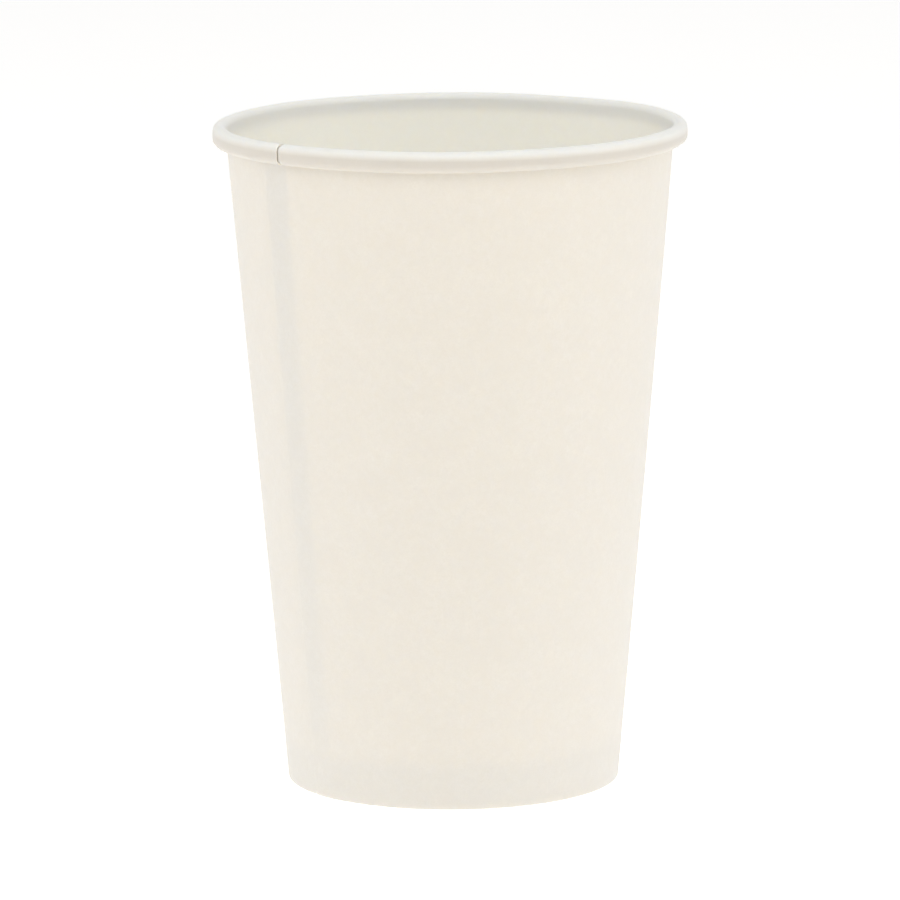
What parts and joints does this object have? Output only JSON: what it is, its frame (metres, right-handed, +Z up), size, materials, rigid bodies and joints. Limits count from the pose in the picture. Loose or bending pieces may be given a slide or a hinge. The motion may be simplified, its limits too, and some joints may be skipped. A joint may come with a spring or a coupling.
{
  "type": "paper coffee cup",
  "caption": "Plain single-wall paper cup for a hot drink, a cone with a rolled rim, a lapped side seam and a recessed bottom held in a folded foot.",
  "frame": {"origin": "middle of the foot, on the surface that the cup stands on", "axes": "+Z up along the cup's axis, to the rim; -Y is the front; the side seam is at the front left, towards -X and -Y"},
  "size_m": [0.07, 0.07, 0.0984],
  "materials": {
    "wall_board": "matte outside, thin smooth lining inside",
    "bottom_board": "thin smooth lining on top, matte underneath"
  },
  "bodies": {
    "root": {"sidewall": "wall_board", "bottom": "bottom_board"}
  },
  "joints": []
}
